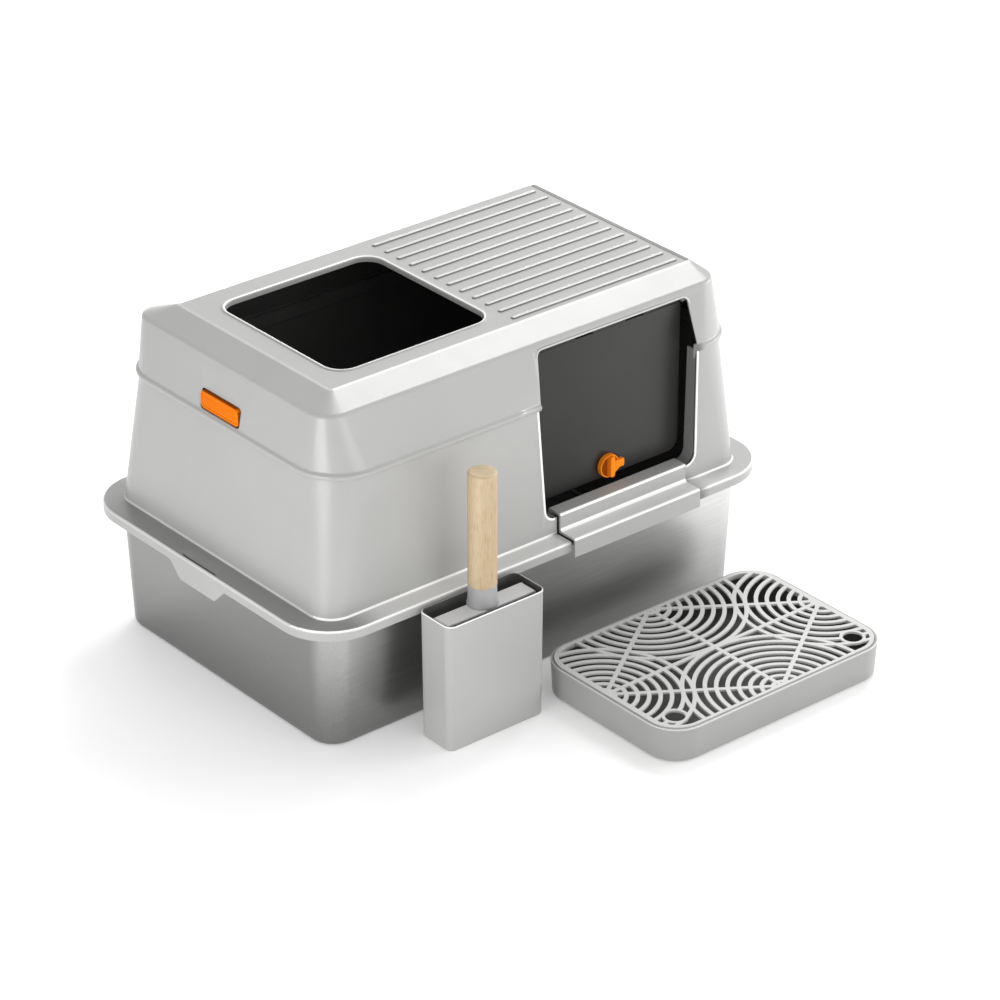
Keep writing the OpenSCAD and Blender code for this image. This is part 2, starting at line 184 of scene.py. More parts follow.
# Painted shade: near black for the inside faces of the hood, the enclosure, the scoop holder and the
# mat.
INNER_SHADE = moulded("inner_painted_shade", (0.085, 0.085, 0.083), (0.065, 0.065, 0.063), (0.5, 0.65))
WHITE = moulded("grate_white", (0.56, 0.56, 0.55), (0.51, 0.51, 0.50), (0.34, 0.44))
ORANGE = moulded("orange", (0.75, 0.175, 0.001), (0.67, 0.145, 0.001), (0.3, 0.42), 1800, 0.00002, 0.03)
AMBER = moulded("amber", (0.90, 0.27, 0.018), (0.79, 0.21, 0.013), (0.3, 0.42), 1800, 0.00002, 0.03)
# Painted shade: dark orange for the knob's sunk floor and the outer sides of the latch buttons.
ORANGE_SHADE = moulded("orange_painted_shade", (0.34, 0.068, 0.002), (0.27, 0.05, 0.001), (0.4, 0.5), 1800, 0.00002, 0.03)
DARK = moulded("dark_fitting", (0.030, 0.030, 0.030), (0.022, 0.022, 0.022), (0.4, 0.55))
SCOOP = moulded("scoop_grey", (0.66, 0.66, 0.66), (0.60, 0.60, 0.60), (0.34, 0.46))
SOCKET = moulded("socket_grey", (0.34, 0.34, 0.345), (0.30, 0.30, 0.305), (0.34, 0.46))
SMOKE = moulded(
    "smoke_panel", (0.019, 0.019, 0.0175), (0.0145, 0.0145, 0.0132), (0.30, 0.36), 900, 0.000005, 0.36
)
# Painted light: the flap gets lighter towards its right side.
graded(SMOKE, "X", 0.02, 0.20, 0.80, 1.55)
RUBBER = moulded("rubber", (0.035, 0.035, 0.035), (0.025, 0.025, 0.025), (0.7, 0.85))
STEEL = brushed("tray_steel", (0.48, 0.48, 0.475), (0.41, 0.41, 0.405))
# Painted reflection and shade: the tray darker towards the bottom, lighter towards the right, and darker
# on its left and right end faces.
graded(STEEL, "Z", 0.0, 0.135, 0.52, 1.0)
graded(STEEL, "X", -0.10, 0.27, 1.0, 1.5)
graded(STEEL, "X", -0.2785, -0.2705, 0.60, 1.0)
graded(STEEL, "X", 0.260, 0.272, 1.0, 0.55)
PIN = brushed("pin_steel", (0.62, 0.62, 0.62), (0.5, 0.5, 0.5))
WOOD = wood("beech")

# ---------------------------------------------------------------- mesh helpers

ARC = 4  # bands in a fillet of a lofted shell


def loop(hx, hy, r, z, cx=0.0, cy=0.0, n=9, mx=14, my=9):
    """Rounded rectangle as points, from the +X side counter-clockwise.

    Each corner has n steps; the sides along X have mx steps, the sides along Y my steps.
    """
    out = []
    corners = ((1, 1, 0), (-1, 1, 90), (-1, -1, 180), (1, -1, 270))
    for q, (sx, sy, a0) in enumerate(corners):
        for k in range(n + 1):
            a = math.radians(a0 + 90 * k / n)
            out.append((cx + sx * (hx - r) + r * math.cos(a), cy + sy * (hy - r) + r * math.sin(a), z))
        a, nxt = out[-1], corners[(q + 1) % 4]
        b0 = math.radians(nxt[2])
        b = (cx + nxt[0] * (hx - r) + r * math.cos(b0), cy + nxt[1] * (hy - r) + r * math.sin(b0), z)
        m = mx if q % 2 == 0 else my
        out += [tuple(a[i] + (b[i] - a[i]) * k / m for i in range(3)) for k in range(1, m)]
    return out


def soften(levels, closed, seg=ARC):
    """Rounds the corners of a profile. Each level is (hx, hy, r, z, cx, cy, fillet)."""
    out, n = [], len(levels)

    def size(d):
        return math.sqrt((d[0] ** 2 + d[1] ** 2) / 2 + d[3] ** 2) or 1e-9

    for i, p in enumerate(levels):
        f, p = p[6], p[:6]
        if f <= 0 or (not closed and i in (0, n - 1)):
            out.append(p)
            continue
        sides = []
        for q in (levels[i - 1][:6], levels[(i + 1) % n][:6]):
            d = [b - a for a, b in zip(p, q)]
            k = min(f, 0.48 * size(d)) / size(d)
            sides.append([a + b * k for a, b in zip(p, d)])
        a, b = sides
        for k in range(seg + 1):
            t = k / seg
            curve = zip(a, p, b)
            out.append(tuple((1 - t) ** 2 * x + 2 * t * (1 - t) * y + t * t * w for x, y, w in curve))
    return out


def make(name, bm, mat=None):
    """Object from a bmesh in millimetres. mat is one material, a list of them, or nothing."""
    bmesh.ops.recalc_face_normals(bm, faces=bm.faces)
    bmesh.ops.scale(bm, vec=(MM, MM, MM), verts=bm.verts)
    for e in bm.edges:
        e.smooth = len(e.link_faces) != 2 or e.calc_face_angle(0) < math.radians(38)
    for f in bm.faces:
        f.smooth = True
    me = bpy.data.meshes.new(name)
    bm.to_mesh(me)
    bm.free()
    o = bpy.data.objects.new(name, me)
    bpy.context.scene.collection.objects.link(o)
    for m in mat if isinstance(mat, (list, tuple)) else [mat] if mat else []:
        me.materials.append(m)
    return o


def weighted(o):
    """Weighted normals, so that flat faces stay flat beside small fillets."""
    w = o.modifiers.new("normals", "WEIGHTED_NORMAL")
    w.keep_sharp = True
    w.weight = 60
    return o


def skin(loops, closed=False, caps=(False, False), slots=None):
    """Quads between loops of equal length. slots gives a material index for each band."""
    bm = bmesh.new()
    rows = [[bm.verts.new(p) for p in lp] for lp in loops]
    n, count = len(rows[0]), len(rows)
    for i in range(count if closed else count - 1):
        a, b = rows[i], rows[(i + 1) % count]
        for k in range(n):
            f = bm.faces.new((a[k], a[(k + 1) % n], b[(k + 1) % n], b[k]))
            f.material_index = slots[i] if slots else 0
    if caps[0]:
        bm.faces.new(rows[0][::-1]).material_index = slots[0] if slots else 0
    if caps[1]:
        bm.faces.new(rows[-1]).material_index = slots[-1] if slots else 0
    return bm


def prism(points, lo, hi, axis="y"):
    """Extrudes a 2D outline. axis y: points are (x, z); axis x: (y, z); axis z: (x, y)."""
    place = {
        "y": lambda p, d: (p[0], d, p[1]),
        "x": lambda p, d: (d, p[0], p[1]),
        "z": lambda p, d: (p[0], p[1], d),
    }[axis]
    return skin([[place(p, lo) for p in points], [place(p, hi) for p in points]], caps=(True, True))


def rounded(points, radii, seg):
    """Rounds the corners of a 2D outline, by one radius or by one for each point."""
    out, n = [], len(points)
    for i, p in enumerate(points):
        r = radii[i] if isinstance(radii, (list, tuple)) else radii
        a, b, p = Vector(points[i - 1]), Vector(points[(i + 1) % n]), Vector(p)
        u, v = (a - p), (b - p)
        half = u.angle(v) / 2
        if r <= 0 or half > math.radians(89):
            out.append(tuple(p))
            continue
        d = min(r / math.tan(half), 0.49 * u.length, 0.49 * v.length)
        rr = d * math.tan(half)
        c = p + (u.normalized() + v.normalized()).normalized() * (rr / math.sin(half))
        s, e = p + u.normalized() * d - c, p + v.normalized() * d - c
        turn = s.angle_signed(e)
        for k in range(seg + 1):
            q = s.copy()
            q.rotate(Matrix.Rotation(-turn * k / seg, 2))
            out.append(tuple(c + q))
    return out


def lathe(profile, n):
    """Turns (radius, height) points around Z. Ends at radius 0 are closed."""
    bm = bmesh.new()
    turns = [2 * math.pi * k / n for k in range(n)]
    rows = []
    for r, z in profile:
        if r < 1e-6:
            rows.append([bm.verts.new((0, 0, z))])
        else:
            rows.append([bm.verts.new((r * math.cos(a), r * math.sin(a), z)) for a in turns])
    for a, b in zip(rows, rows[1:]):
        for k in range(n):
            j = (k + 1) % n
            if len(a) == 1:
                bm.faces.new((a[0], b[j], b[k]))
            elif len(b) == 1:
                bm.faces.new((a[k], a[j], b[0]))
            else:
                bm.faces.new((a[k], a[j], b[j], b[k]))
    return bm


def bevelled(o, width, seg, angle=40):
    """Bevels the edges sharper than angle; width is in millimetres."""
    b = o.modifiers.new("edges", "BEVEL")
    b.width = width * MM
    b.segments = seg
    b.limit_method = "ANGLE"
    b.angle_limit = math.radians(angle)
    b.use_clamp_overlap = True
    return weighted(o)


def cut(o, cutters):
    """Exact booleans, applied; the cutters are removed."""
    for c in cutters:
        m = o.modifiers.new("cut", "BOOLEAN")
        m.operation, m.solver, m.object = "DIFFERENCE", "EXACT", c
    dg = bpy.context.evaluated_depsgraph_get()
    me = bpy.data.meshes.new_from_object(o.evaluated_get(dg))
    o.modifiers.clear()
    o.data = me
    for c in cutters:
        bpy.data.objects.remove(c)


def mark(o, test, slot):
    """Gives the faces that test(centre in mm, normal) picks the material of that slot."""
    for f in o.data.polygons:
        if test(f.center / MM, f.normal):
            f.material_index = slot


def bead(name, path, wide, proud, mat):
    """Rolled edge along a path of (x, y, z) points on a front face, standing proud towards -Y."""
    rows, n = [], 10
    ring = [2 * math.pi * k / n for k in range(n)]
    for i, p in enumerate(path):
        p = Vector(p)
        t = (Vector(path[min(i + 1, len(path) - 1)]) - Vector(path[max(i - 1, 0)])).normalized()
        side = t.cross(Vector((0, -1, 0))).normalized()
        out = side.cross(t).normalized()
        rows.append([tuple(p + side * (wide * math.cos(a)) + out * (proud * math.sin(a))) for a in ring])
    return make(name, skin(rows, caps=(True, True)), mat)


def put(o, body, slot, *nodes):
    """Hands a piece to a body, with the CAD nodes that it replaces; the material slot is not used."""
    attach(o, body)
    if nodes:
        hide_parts(*nodes)


def paint(node, mat):
    """Gives a CAD node that stays visible its material."""
    o = NODES[node]
    o.data.materials.clear()
    o.data.materials.append(mat)
    return o


def at(x, y, z, turn=0.0, axis="X"):
    """Matrix that turns by quarter turns about an axis and then moves to a point in millimetres."""
    return Matrix.Translation(Vector((x, y, z)) * MM) @ Matrix.Rotation(turn * math.pi / 2, 4, axis)


# ---------------------------------------------------------------- shared sizes (mm)

SEAM = 292.0  # underside of the hood's bead
HOOD_FOOT = 298.9  # top of the bead, where the hood's walls start
SHOULDER = 355.3  # where the walls turn into the sloped shoulder
ROOF = 365.6
SHELF = 146.7  # top of the lip around the tray
WALL_TOP = 291.8  # top of the enclosure's walls, under the bead
JAMB_TOP = 291.6  # upper end of the flanges beside the opening
WIN_X = 105.0  # the outlines of the front opening are measured from here
WIN_Z = 165.2  # lower edge of the opening
SILL = 168.9  # top of the threshold
SILL_X = (21.9, 191.4)  # its two ends
HINGE = (-152.0, 344.5)  # Y and Z of the pin
DOOR = (8.8, 204.2, 173.0)  # left, right and bottom edge of the flap
KNOB = (106.5, 186.5)  # X and Z of the knob
LATCH_Z = 310.5  # height of the latch buttons' middle
LATCH_BACK = 253.4  # distance of a latch button's back from the middle
BUTTON = (31.3, 9.7)  # half length and half height of a latch button
HOLD = (-119.0, -228.3)  # X and Y of the scoop holder
MAT = (115.5, -313.3)  # X and Y of the foot mat


def window_low(g=0.0):
    """Outline of the front opening in the enclosure as (x, z) points, grown by g."""
    pts = [(-108.5 - g, 304), (103.5 + g, 304), (101 + g, WIN_Z - g), (-99.5 - g, WIN_Z - g)]
    return rounded([(WIN_X + x, z) for x, z in pts], [0, 0, 12 + g, 12 + g], 10)


def window_high(g=0.0):
    """Outline of the front opening in the hood as (x, z) points, grown by g."""
    pts = [(-108.5 - g, 287), (103.5 + g, 287), (101.3 + g, 348 + g), (-97.6 - g, 348 + g)]
    return rounded([(WIN_X + x, z) for x, z in pts], [0, 0, 7 + g, 7 + g], 8)


def hood_y(z):
    """Front face of the hood at height z."""
    return 18.3 * min(max((z - HOOD_FOOT) / (SHOULDER - HOOD_FOOT), 0), 1) - 176.7


def wall_y(z):
    """Front face of the enclosure at height z."""
    return 2.9 * min(max((z - SHELF) / (WALL_TOP - SHELF), 0), 1) - 178.5


def strip(path, width, y_front, y_back):
    """Flange along a path of (x, z) points, widened to the right of the path's direction."""
    rows = []
    for i, p in enumerate(path):
        a, b = Vector(path[max(i - 1, 0)]), Vector(path[min(i + 1, len(path) - 1)])
        d = (b - a).normalized()
        q = Vector(p) + Vector((d.y, -d.x)) * width
        f = y_front(p[1])
        rows.append([(p[0], f, p[1]), (p[0], y_back, p[1]), (q.x, y_back, q.y), (q.x, f, q.y)])
    return skin(rows, caps=(True, True))


# ---------------------------------------------------------------- upper hood

# from the lower edge up the outside, down through the roof opening, and back down the inside
hood_levels = [
    (261.4, 169.7, 45.4, SEAM, 0, -3, 0.5),
    (267.0, 175.2, 50.8, SEAM, 0, -3, 1.0),
    (268.3, 176.5, 52.0, 293.6, 0, -3, 1.2),
    (268.3, 176.5, 52.0, 297.0, 0, -3, 1.6),
    (265.5, 173.7, 50.0, HOOD_FOOT, 0, -3, 1.4),
    (255.3, 158.4, 25.0, SHOULDER, 0, 0, 3.0),
    (232.4, 124.5, 4.0, ROOF, 10.9, 0, 2.2),
    (101.5, 103.0, 25.0, ROOF, -97.8, -2.4, 0.5),
    (101.2, 102.7, 24.7, 366.6, -97.8, -2.4, 0.7),
    (98.4, 99.9, 22.4, 366.6, -97.8, -2.4, 1.0),
    (97.0, 98.5, 21.0, 365.2, -97.8, -2.4, 1.0),
    (97.0, 98.5, 21.0, 360.0, -97.8, -2.4, 0.6),
    (101.2, 102.7, 24.7, 360.0, -97.8, -2.4, 0.6),
    (101.5, 103.0, 25.0, 363.0, -97.8, -2.4, 0.5),
    (231.6, 123.7, 4.0, 363.0, 10.9, 0, 3.0),
    (252.7, 155.8, 22.4, 353.0, 0, 0, 4.0),
    (262.9, 171.1, 47.4, 299.4, 0, -3, 0.4),
    (261.4, 169.7, 45.4, 298.8, 0, -3, 0.4),
]


def index_of_bands(levels, closed, inner, edges=(), bright=()):
    """Material index of each band: 1 inside, as painted shade, 2 or 3 on the fillets of the levels in
    edges or bright, as painted highlights.

    inner holds the first and the last level of the inside.
    """
    marks = []
    for i, lv in enumerate(levels):
        k = 1 if lv[6] <= 0 or (not closed and i in (0, len(levels) - 1)) else ARC + 1
        marks += [i] * k
    out = []
    for a, b in zip(marks, marks[1:] + marks[:1]):
        fillet = 2 if a in edges else 3 if a in bright else 0
        out.append(fillet if a == b and fillet else 1 if inner[0] <= a <= inner[1] else 0)
    return out


def shell(name, levels, inner, edges=(), bright=()):
    """Closed wall lofted through the levels."""
    rings = [loop(*level) for level in soften(levels, True)]
    slots = index_of_bands(levels, True, inner, edges, bright)
    return make(name, skin(rings, closed=True, slots=slots), [GREY, INNER_SHADE, EDGE_HIGHLIGHT, BRIGHT_HIGHLIGHT])


def slot_cutter(sign):
    """Slot for a latch button in an end wall of the hood."""
    pts = loop(32.5, 10.9, 4.2, 0, n=6, mx=1, my=1)
    return make("cutter", prism([(p[0], p[1] + LATCH_Z) for p in pts], sign * 245, sign * 280, "x"))


# The inside gets painted shade, the roof's outer edge and the lip of the roof opening painted
# highlights.
hood = shell("hood_shell", hood_levels, (11, 17), (6,), (9,))
cut(hood, [make("cutter", prism(window_high(), -215, -140)), slot_cutter(-1), slot_cutter(1)])
put(weighted(hood), "hood", "body_plastic", "upper_hood")

# Rolled edge round the hood's opening, in a lighter grey as a painted highlight.
path = [(x, hood_y(z), z) for x, z in window_high(0.9) if z > 299]
put(bead("hood_window_edge", path, 1.0, 0.5, EDGE_HIGHLIGHT), "hood", "body_plastic")

# grip ribs on the roof: gentle behind, steep in front; each level is (half width, shift in Y, height)
rib_levels = ((2.8, 0, -0.4), (2.8, 0, 0.3), (2.4, -0.3, 1.0), (1.7, -0.6, 1.45), (0.9, -0.8, 1.6))
RIBS = 12
RIB_PITCH = 20.3
for i in range(RIBS):
    y = -3.2 + (i - (RIBS - 1) / 2) * RIB_PITCH
    rings = []
    for w, dy, z in rib_levels:
        rings.append(loop(107.0 + w, w, w - 0.01, ROOF + z, 122.0, y + dy, n=7, mx=6, my=1))
    rib = make(f"hood_rib_{i + 1:02d}", skin(rings, caps=(True, True)), [GREY, SHADE_GREY, EDGE_HIGHLIGHT])
    # Painted highlight on the rib tops, painted shade on their front faces and left ends.
    mark(rib, lambda c, n: n.z > 0.9, 2)
    mark(rib, lambda c, n: n.y < -0.35 or n.x < -0.3, 1)
    put(rib, "hood", "body_plastic")

# dark strip along the roof's right end, as painted shade
pts = rounded([(237.4, -122.5), (242.6, -122.5), (242.6, 122.5), (237.4, 122.5)], 1.2, 4)
o = make("hood_roof_shade_strip", prism(pts, ROOF - 0.4, ROOF + 0.35, "z"), SHADE_GREY)
put(bevelled(o, 0.3, 2), "hood", "body_plastic")

# ---------------------------------------------------------------- lower enclosure

# from under the lip, out and up, along the shelf, up the wall, and back down the inside
enclosure_levels = [
    (297.6, 199.1, 55.6, 135.2, 0, 0, 0.8),
    (300.0, 201.5, 58.0, 135.2, 0, 0, 0.8),
    (300.0, 201.5, 58.0, SHELF, 0, 0, 2.6),
    (273.5, 178.5, 26.0, SHELF, 0, 0, 2.2),
    (264.5, 172.6, 48.0, WALL_TOP, 0, -3, 0.6),
    (260.9, 169.2, 45.0, WALL_TOP, 0, -3, 0.5),
    (260.9, 169.2, 45.0, 297.5, 0, -3, 0.8),
    (258.7, 167.0, 43.0, 297.5, 0, -3, 0.8),
    (258.7, 167.0, 43.0, 283.0, 0, -3, 0.5),
    (262.4, 170.4, 43.8, 281.0, 0, -2.8, 0.5),
    (270.9, 175.9, 23.4, 147.0, 0, 0, 0.5),
    (268.7, 173.7, 22.0, 144.5, 0, 0, 0.5),
    (268.7, 173.7, 22.0, 131.0, 0, 0, 0.6),
    (270.9, 175.9, 24.0, 131.0, 0, 0, 0.6),
    (270.9, 175.9, 24.0, 143.2, 0, 0, 0.8),
    (297.6, 199.1, 55.6, 143.2, 0, 0, 1.0),
]
# The inside gets painted shade, the shelf's outer edge and its corner with the wall painted highlights.
enclosure = shell("enclosure_shell", enclosure_levels, (6, 14), (2, 3))
notch = [(19.4, 100), (192.4, 100), (192.4, 174), (19.4, 174)]
cutters = [make("cutter", prism(window_low(), -215, -150)), make("cutter", prism(notch, -215, -158))]
for sign in (-1, 1):
    pts = [(p[0] + sign * 295.6, p[1]) for p in loop(1.6, 28, 1.5, 0, n=5, mx=1, my=1)]
    cutters.append(make("cutter", prism(pts, 139, 152, "z")))
cut(enclosure, cutters)
enclosure.data.materials.append(FLANGE_LIGHT_SHADE)
# painted highlight on the front edges of the shelf, and painted light and shade on its flat top
mark(enclosure, lambda c, n: n.y < -0.15 and n.z > 0.15 and c.y < -150 and 144 < c.z < 149.5, 3)
mark(enclosure, lambda c, n: n.z > 0.95 and 146.0 < c.z < 147.2, 4)
put(weighted(enclosure), "enclosure", "body_plastic", "lower_enclosure")

# rolled edge of the front opening, from the threshold up to the hood on either side, near white as a
# painted highlight
EDGE_TOP = 291.4
outline = [(x, wall_y(z), z) for x, z in window_low(0.9) if z < EDGE_TOP]
for side, sign in (("left", -1), ("right", 1)):
    path = [p for p in outline if (p[0] - WIN_X) * sign > 0]
    end = [(WIN_X + (-109.0 if sign < 0 else 104.2), wall_y(EDGE_TOP), EDGE_TOP)]
    path = path + end if sign < 0 else end + path
    put(bead(f"enclosure_window_edge_{side}", path, 1.3, 0.6, BRIGHT_HIGHLIGHT), "enclosure", "body_plastic")

# return flanges at the two sides of the front opening, in dark grey as painted shade
inner = [p for p in window_low(0.1) if p[1] < JAMB_TOP]
left = sorted([p for p in inner if p[0] < 19], key=lambda p: -p[1])
left = [(WIN_X - 108.1, JAMB_TOP)] + left + [(19.3, WIN_Z - 0.1)]
right = sorted([p for p in inner if p[0] > 193], key=lambda p: p[1])
right = [(192.5, WIN_Z - 0.1)] + right + [(WIN_X + 103.3, JAMB_TOP)]
for side, path in (("left", left), ("right", right)):
    o = make(f"enclosure_jamb_{side}", strip(path, 2.4, lambda z: wall_y(z) + 1.5, -160.0), SHADE_GREY)
    put(bevelled(o, 0.5, 2, 50), "enclosure", "body_plastic")

# lift tabs on the two ends of the lip
tab = [(-52, 137), (52, 137), (45, 134.4), (29, 118.2), (-29, 118.2), (-45, 134.4)]
tab = rounded(tab, [0, 0, 8, 7, 7, 8], 6)
for sign, side in ((-1, "left"), (1, "right")):
    o = make(f"enclosure_tab_{side}", prism(tab, sign * 299.9, sign * 297.4, "x"), GREY)
    put(bevelled(o, 0.7, 3), "enclosure", "body_plastic")

# ---------------------------------------------------------------- litter tray

tray_levels = [
    (200, 110, 10, 0.0, 0, 0, 0),
    (271.0, 173.5, 26.0, 0.0, 0, 0, 7.0),
    (277.4, 179.9, 32.0, 141.8, 0, 0, 3.0),
    (291.9, 193.4, 49.9, 141.8, 0, 0, 0),
]
ROLL = 2.2  # radius of the rolled rim
for a in (180, 225, 270, 315, 0, 45, 90):
    c, s = ROLL * math.cos(math.radians(a)), ROLL * math.sin(math.radians(a))
    tray_levels.append((294 + c, 195.5 + c, 52 + c, 140.4 + s, 0, 0, 0))
tray_levels += [
    (276.6, 179.1, 31.2, 142.6, 0, 0, 3.0),
    (270.2, 172.7, 25.2, 0.8, 0, 0, 6.5),
    (200, 110, 10, 0.8, 0, 0, 0),
]
rings = [loop(*level, n=10) for level in soften(tray_levels, False, 5)]
tray = make("tray_pan", skin(rings, caps=(True, True)), STEEL)
put(weighted(tray), "tray", "tray_steel", "litter_tray")

# ---------------------------------------------------------------- front threshold

sill_profile = [
    (-161.6, 150), (-161.6, SILL), (-180.9, SILL), (-180.9, 149.6), (-203.9, 149.4), (-203.9, 128.4),
    (-201.5, 128.4), (-201.5, 146.9), (-178.5, 147.0), (-178.4, SILL - 2.6), (-164.2, SILL - 2.6),
    (-164.2, 150),
]
radii = [0.6, 1.8, 2.4, 3.0, 2.6, 0.8, 0.8, 0.8, 0.6, 0.8, 0.6, 0.6]
bm = prism(rounded(sill_profile, radii, 5), SILL_X[0], SILL_X[1], "x")
sill = make("sill_threshold", bm, [GREY, BRIGHT_HIGHLIGHT, FLANGE_LIGHT_SHADE])
# Painted light on the top of the lower step, painted highlights on the rounded edges of the front faces.
mark(sill, lambda c, n: n.z > 0.95 and 149 < c.z < 150.5, 2)
mark(sill, lambda c, n: abs(n.y) > 0.12 and abs(n.z) > 0.12 and c.y < -178.9 and c.z > 147.6, 1)
put(weighted(sill), "sill", "body_plastic", "front_sill")

# stiffening ribs under its step
rib = [(-199.5, 142.7), (-179, 142.7), (-179, 147.2), (-199.5, 147.2)]
for k, x in enumerate((-64, 0, 64)):
    o = make(f"sill_rib_{k + 1}", prism(rib, WIN_X + x - 1.2, WIN_X + x + 1.2, "x"), GREY)
    put(bevelled(o, 0.3, 1), "sill", "body_plastic")

# ---------------------------------------------------------------- flap door, hinge and knob

x0, x1, door_low = DOOR
hinge_y, hinge_z = HINGE
clip_z = hinge_z - 3.2  # the flap's top edge steps down to here for the two hinge clips
outline = [
    (x0, door_low), (x1, door_low), (x1, hinge_z), (151, hinge_z), (151, clip_z), (128, clip_z),
    (128, hinge_z), (84, hinge_z), (84, clip_z), (62, clip_z), (62, hinge_z), (x0, hinge_z),
]
outline = rounded(outline, [14, 14] + [1] * 10, 8)
door = make("door_panel", prism(outline, hinge_y - 1.5, hinge_y + 1.5), SMOKE)
put(bevelled(door, 0.7, 3), "door", "smoke_panel", "flap_door")
PIN_HOLE = 2.06
for k, (x, length) in enumerate(((12, 50), (84, 44), (151, 50))):
    prof = [(PIN_HOLE, 0), (3.7, 0), (4.2, 0.5), (4.2, length - 0.5)]
    prof += [(3.7, length), (PIN_HOLE, length), (PIN_HOLE, 0)]
    o = make(f"door_knuckle_{k + 1}", lathe(prof, 32), SMOKE)
    o.matrix_world = at(x, hinge_y, hinge_z, 1, "Y")
    put(weighted(o), "door", "smoke_panel")
bar = [(hinge_y + 1, 177), (hinge_y + 4, 177), (hinge_y + 4, 179.4), (hinge_y + 1, 179.4)]
o = make("door_stiffener", prism(rounded(bar, 0.7, 3), x0 + 18, x1 - 18, "x"), SMOKE)
put(bevelled(o, 0.4, 2), "door", "smoke_panel")
boss = make("door_boss", lathe([(4.1, 0), (4.1, 4), (10.4, 4), (11, 3.4), (11, 0), (4.1, 0)], 40), SMOKE)
boss.matrix_world = at(KNOB[0], hinge_y, KNOB[1], -1)
put(weighted(boss), "door", "smoke_panel")

# the knob is drawn with its axis up and then turned to face forwards
front = at(KNOB[0], hinge_y - 1.7, KNOB[1], 1)
cup = [
    (0, 0), (12.1, 0), (12.7, 0.6), (12.7, 5.0), (12.4, 5.6), (11.8, 5.8), (11.2, 5.6), (10.8, 5.0),
    (10.6, 3.6), (10.2, 3.2), (0, 3.2),
]
knob = make("knob_cup", lathe(cup, 64), [AMBER, ORANGE_SHADE])
# Painted shade on the knob's sunk floor.
mark(knob, lambda c, n: math.hypot(c.x, c.y) < 10.7, 1)
gap = [(4.2, -14), (14, -14), (14, -4.7), (4.2, -4.7)]
cut(knob, [make("cutter", prism(gap, -1, 12, "z"))])
knob.matrix_world = front
put(weighted(knob), "knob", "orange_plastic", "door_knob")
fin_pts = rounded([(-2, -11.7), (4, -11.7), (4, 11.7), (-2, 11.7)], 2.2, 5)
fin = make("knob_fin", prism(fin_pts, 2.2, 9.5, "z"), AMBER)
fin.matrix_world = front
put(bevelled(fin, 0.9, 3), "knob", "orange_plastic")
tongue_pts = [(3, -10), (6, -9), (12.5, -4.5), (18.5, -4.5), (18.5, 4.5), (3, 4.5)]
tongue_pts = rounded(tongue_pts, [0, 1, 3, 2, 2, 0], 5)
tongue = make("knob_tongue", prism(tongue_pts, 2.6, 7.0, "z"), AMBER)
tongue.matrix_world = front
put(bevelled(tongue, 0.7, 3), "knob", "orange_plastic")

# ---------------------------------------------------------------- side latches

button_levels = [
    (20, 4, 2, 0, 0, 0, 0),
    (*BUTTON, 5.6, 0, 0, 0, 0.6),
    (*BUTTON, 5.6, 11.8, 0, 0, 1.4),
    (27.4, 6.6, 3.8, 11.8, 0, 0, 0.3),
    (27.0, 6.2, 3.6, 10.9, 0, 0, 0.3),
    (26.2, 5.4, 3.0, 10.9, 0, 0, 0.3),
    (25.8, 5.0, 2.8, 11.5, 0, 0, 0.4),
    (20, 3, 1.6, 11.6, 0, 0, 0),
]
GROOVE = LATCH_BACK + 11.3  # below this the ring around the middle of the face is sunk
COIL_TURNS = 5
COIL_STEPS = 120
COIL_RADIUS = 2.4
WIRE = 0.42  # radius of the spring's wire


def to_side(p, depth, sign):
    """Point on a latch face: p is (along Y, up), depth counts outwards from the button's back."""
    return (sign * (LATCH_BACK + depth), p[0], p[1] + LATCH_Z)


def in_groove(c, n):
    """Faces in the sunk ring of a latch button."""
    return 262 < abs(c.x) < GROOVE and abs(c.y) < 27.5 and abs(c.z - LATCH_Z) < 6.7


def on_side(c, n):
    """Faces around the outer edge of a latch button."""
    return abs(n.x) < 0.6 and max(abs(c.y) / BUTTON[0], abs(c.z - LATCH_Z) / BUTTON[1]) > 0.97


def coil(sign, y):
    """Round wire wound along X between the guide box and the button."""
    cu = bpy.data.curves.new("coil", "CURVE")
    cu.dimensions = "3D"
    cu.bevel_depth = WIRE * MM
    cu.bevel_resolution = 3
    cu.use_fill_caps = True
    pts = []
    for k in range(COIL_STEPS + 1):
        a = 2 * math.pi * COIL_TURNS * k / COIL_STEPS
        x = 248.9 + 5.9 * (0.06 + 0.88 * (k / COIL_STEPS))
        pts.append((sign * x, y + COIL_RADIUS * math.cos(a), LATCH_Z + COIL_RADIUS * math.sin(a)))
    sp = cu.splines.new("POLY")
    sp.points.add(len(pts) - 1)
    for q, p in zip(sp.points, pts):
        q.co = (*[c * MM for c in p], 1)
    o = bpy.data.objects.new("coil", cu)
    bpy.context.scene.collection.objects.link(o)
    return o


